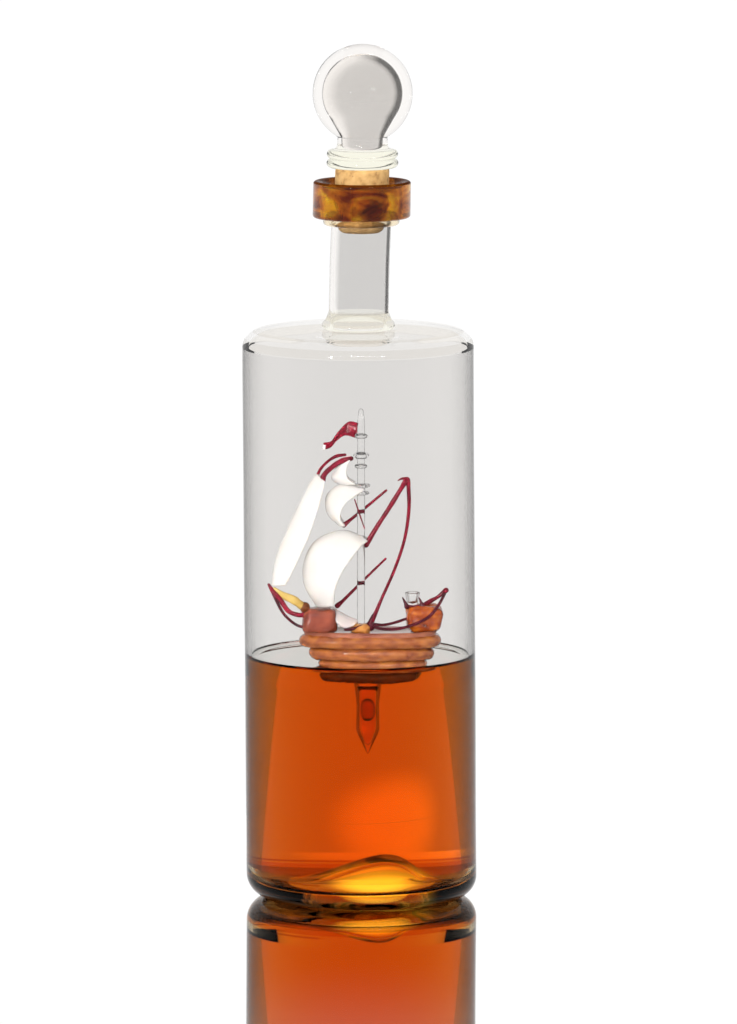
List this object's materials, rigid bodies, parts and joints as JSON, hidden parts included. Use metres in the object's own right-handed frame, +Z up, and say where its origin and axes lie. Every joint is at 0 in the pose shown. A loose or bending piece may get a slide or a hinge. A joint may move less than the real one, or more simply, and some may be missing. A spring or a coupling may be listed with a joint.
{
  "type": "glass decanter",
  "caption": "Round glass decanter with a cork and ball stopper and an amber lip; a lampworked glass sailing ship floats on the amber spirit inside.",
  "frame": {"origin": "centre of the foot, on the surface that the bottle stands on", "axes": "+Z up through the mouth, the ship's bow towards -X, the front towards -Y"},
  "size_m": [0.078, 0.078, 0.2895],
  "materials": {
    "clear_glass": "polished",
    "weld_glass": "polished",
    "amber_lip_glass": "polished",
    "pale_lip_glass": "polished",
    "cork": "natural",
    "spirit": "liquid",
    "hull_glass": "polished",
    "deck_glass": "polished",
    "forecastle_glass": "polished",
    "amber_glass": "polished",
    "opal_glass": "satin",
    "wine_glass": "polished",
    "gold_glass": "polished",
    "keel_glass": "polished"
  },
  "bodies": {
    "bottle": {"bottle_body": "clear_glass", "neck_weld_ring": "weld_glass", "neck_tube": "clear_glass", "lip_underring": "pale_lip_glass", "lip_collar": "amber_lip_glass"},
    "stopper": {"stopper_cork": "cork", "stopper_stem": "clear_glass", "stopper_beads": "weld_glass", "stopper_ball": "clear_glass"},
    "liquid": {"liquid": "spirit"},
    "ship": {"hull_bottom": "keel_glass", "hull_strake_low": "hull_glass", "hull_strake_mid": "hull_glass", "hull_strake_top": "hull_glass", "deck": "deck_glass", "forecastle": "forecastle_glass", "aftercastle": "amber_glass", "stern_cup": "clear_glass", "stern_prongs": "wine_glass", "mast": "clear_glass", "mast_rings": "clear_glass", "mast_step": "amber_glass", "pennant": "wine_glass", "topgallant_sail": "opal_glass", "topsail": "opal_glass", "mainsail": "opal_glass", "foot_sail": "opal_glass", "foresail": "opal_glass", "fore_yard_near": "wine_glass", "fore_yard_far": "wine_glass", "upper_brace": "wine_glass", "lower_brace": "wine_glass", "mizzen_spar": "wine_glass", "mizzen_stay": "wine_glass", "peak_knob": "wine_glass", "stay_knot": "wine_glass", "bowsprit": "gold_glass", "bow_knob": "forecastle_glass", "bow_stay_upper": "wine_glass", "bow_stay_lower": "wine_glass", "stern_spar": "wine_glass", "stern_line_near": "wine_glass", "stern_line_far": "wine_glass", "deck_line": "wine_glass", "keel_peg": "keel_glass", "keel_ballast": "keel_glass"}
  },
  "joints": [
    {"name": "stopper_lift", "type": "slide", "parent": "bottle", "child": "stopper", "axis": [0, 0, 1], "range_m": [0, 0.05]},
    {"name": "liquid_level", "type": "slide", "parent": "bottle", "child": "liquid", "axis": [0, 0, -1], "range_m": [-0.018, 0.035], "deforming": ["liquid"]},
    {"name": "ship_turn", "type": "hinge", "parent": "liquid", "child": "ship", "pos_m": [0, 0, 0.0817], "axis": [0, 0, 1], "continuous": true}
  ]
}
